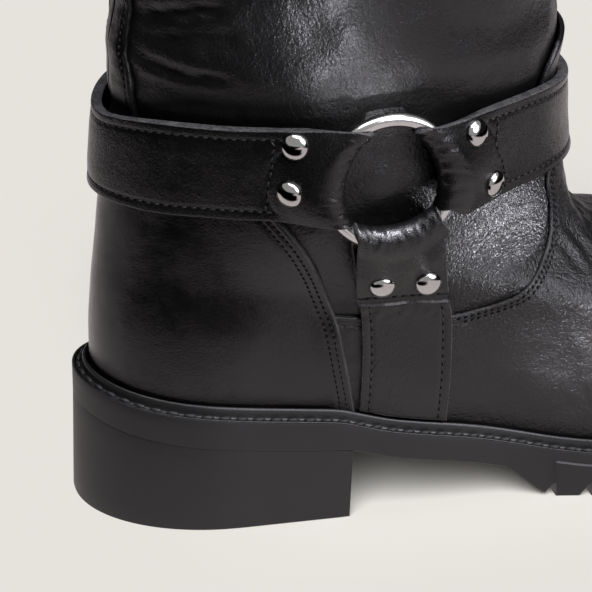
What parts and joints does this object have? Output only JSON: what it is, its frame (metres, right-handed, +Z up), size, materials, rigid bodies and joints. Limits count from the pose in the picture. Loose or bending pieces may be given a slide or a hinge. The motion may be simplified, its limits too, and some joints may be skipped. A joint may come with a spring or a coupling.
{
  "type": "harness boot",
  "caption": "Pull-on leather harness boot for the right foot, with ring and strap harness, stitched welt, block heel and cleated rubber sole.",
  "frame": {"origin": "on the floor, under the middle of the heel block", "axes": "+X towards the toe, +Y towards the medial side, +Z up the shaft"},
  "size_m": [0.2814, 0.106, 0.2991],
  "materials": {
    "sole_rubber": "matte moulded rubber",
    "welt_leather": "satin edge leather",
    "insole_leather": "plain matte lining",
    "grained_leather": "tumbled grain, satin",
    "smooth_leather": "fine grain, satin",
    "strap_leather": "fine grain, satin, raw edges",
    "ring_chrome": "polished",
    "rivet_chrome": "polished"
  },
  "bodies": {
    "root": {"outsole": "sole_rubber", "heel": "sole_rubber", "welt": "welt_leather", "insole": "insole_leather", "upper": "grained_leather", "vamp": "grained_leather", "tongue": "grained_leather", "counter": "smooth_leather", "back_stay": "grained_leather", "heel_strap": "strap_leather", "instep_strap": "strap_leather", "down_strap_lateral": "strap_leather", "down_strap_medial": "strap_leather", "ring_lateral": "ring_chrome", "ring_medial": "ring_chrome", "stud_heel_high_lateral": "rivet_chrome", "stud_heel_low_lateral": "rivet_chrome", "stud_instep_high_lateral": "rivet_chrome", "stud_instep_low_lateral": "rivet_chrome", "stud_down_back_lateral": "rivet_chrome", "stud_down_front_lateral": "rivet_chrome", "stud_heel_high_medial": "rivet_chrome", "stud_heel_low_medial": "rivet_chrome", "stud_instep_high_medial": "rivet_chrome", "stud_instep_low_medial": "rivet_chrome", "stud_down_back_medial": "rivet_chrome", "stud_down_front_medial": "rivet_chrome"}
  },
  "joints": []
}
